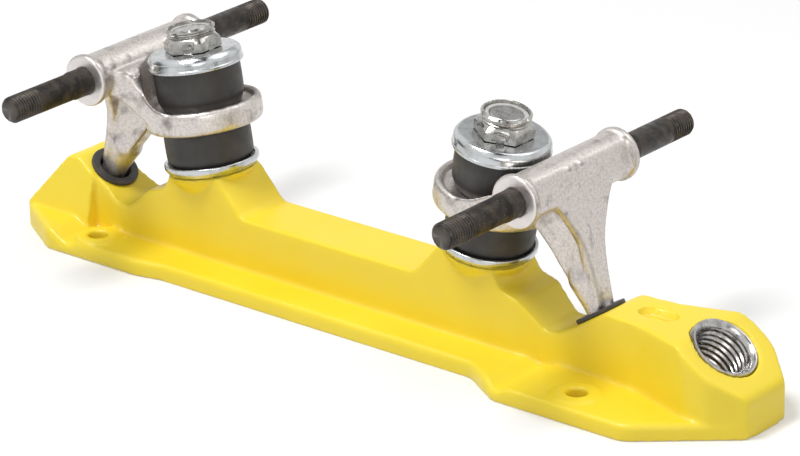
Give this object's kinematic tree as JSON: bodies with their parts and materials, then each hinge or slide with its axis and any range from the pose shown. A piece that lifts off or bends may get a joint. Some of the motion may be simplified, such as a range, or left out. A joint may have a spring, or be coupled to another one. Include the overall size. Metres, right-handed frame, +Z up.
{
  "type": "roller skate plate",
  "caption": "Moulded yellow quad skate plate with cast trucks, rubber cushions, bare axles and a threaded toe stop socket, lying on its sole with the trucks up.",
  "frame": {"origin": "middle of the sole, on the surface the plate lies on", "axes": "+X towards the toe, +Y across the plate along the axles, +Z up from the sole to the trucks"},
  "size_m": [0.2676, 0.111, 0.0742],
  "materials": {
    "plate_nylon": "moulded yellow nylon, semi-gloss",
    "bush_metal": "turned, plated",
    "cup_rubber": "matt",
    "cast_aluminium": "tumbled casting",
    "axle_steel": "black oxide",
    "kingpin_steel": "zinc plated",
    "washer_plating": "bright zinc plating",
    "cushion_rubber": "matt",
    "nut_plating": "bright zinc plating",
    "nut_ring_nylon": "matt"
  },
  "bodies": {
    "base": {"base_plate": "plate_nylon", "toe_stop_insert": "bush_metal", "front_pivot_cup": "cup_rubber", "front_kingpin": "kingpin_steel", "front_lower_washer": "washer_plating", "front_lower_cushion": "cushion_rubber", "front_upper_cushion": "cushion_rubber", "front_upper_washer": "washer_plating", "rear_pivot_cup": "cup_rubber", "rear_kingpin": "kingpin_steel", "rear_lower_washer": "washer_plating", "rear_lower_cushion": "cushion_rubber", "rear_upper_cushion": "cushion_rubber", "rear_upper_washer": "washer_plating"},
    "front_truck": {"front_hanger": "cast_aluminium", "front_axle": "axle_steel"},
    "front_nut": {"front_lock_nut": "nut_plating", "front_nut_ring": "nut_ring_nylon"},
    "rear_truck": {"rear_hanger": "cast_aluminium", "rear_axle": "axle_steel"},
    "rear_nut": {"rear_lock_nut": "nut_plating", "rear_nut_ring": "nut_ring_nylon"}
  },
  "joints": [
    {"name": "front_steer", "type": "hinge", "parent": "base", "child": "front_truck", "pos_m": [0.07901, 0, 0.0172], "axis": [-0.7958, 0, 0.6056], "range_deg": [-8, 8], "stiffness_Nm_per_rad": 3, "deforming": ["front_lower_cushion", "front_upper_cushion"]},
    {"name": "front_nut_turn", "type": "hinge", "parent": "base", "child": "front_nut", "pos_m": [0.04345, 0, 0.06899], "axis": [0.1693, 0, 0.9856], "range_deg": [-180, 180]},
    {"name": "rear_steer", "type": "hinge", "parent": "base", "child": "rear_truck", "pos_m": [-0.1098, 0, 0.0172], "axis": [0.7958, 0, 0.6056], "range_deg": [-8, 8], "stiffness_Nm_per_rad": 3, "deforming": ["rear_lower_cushion", "rear_upper_cushion"]},
    {"name": "rear_nut_turn", "type": "hinge", "parent": "base", "child": "rear_nut", "pos_m": [-0.07425, 0, 0.06899], "axis": [-0.1693, 0, 0.9856], "range_deg": [-180, 180]}
  ]
}
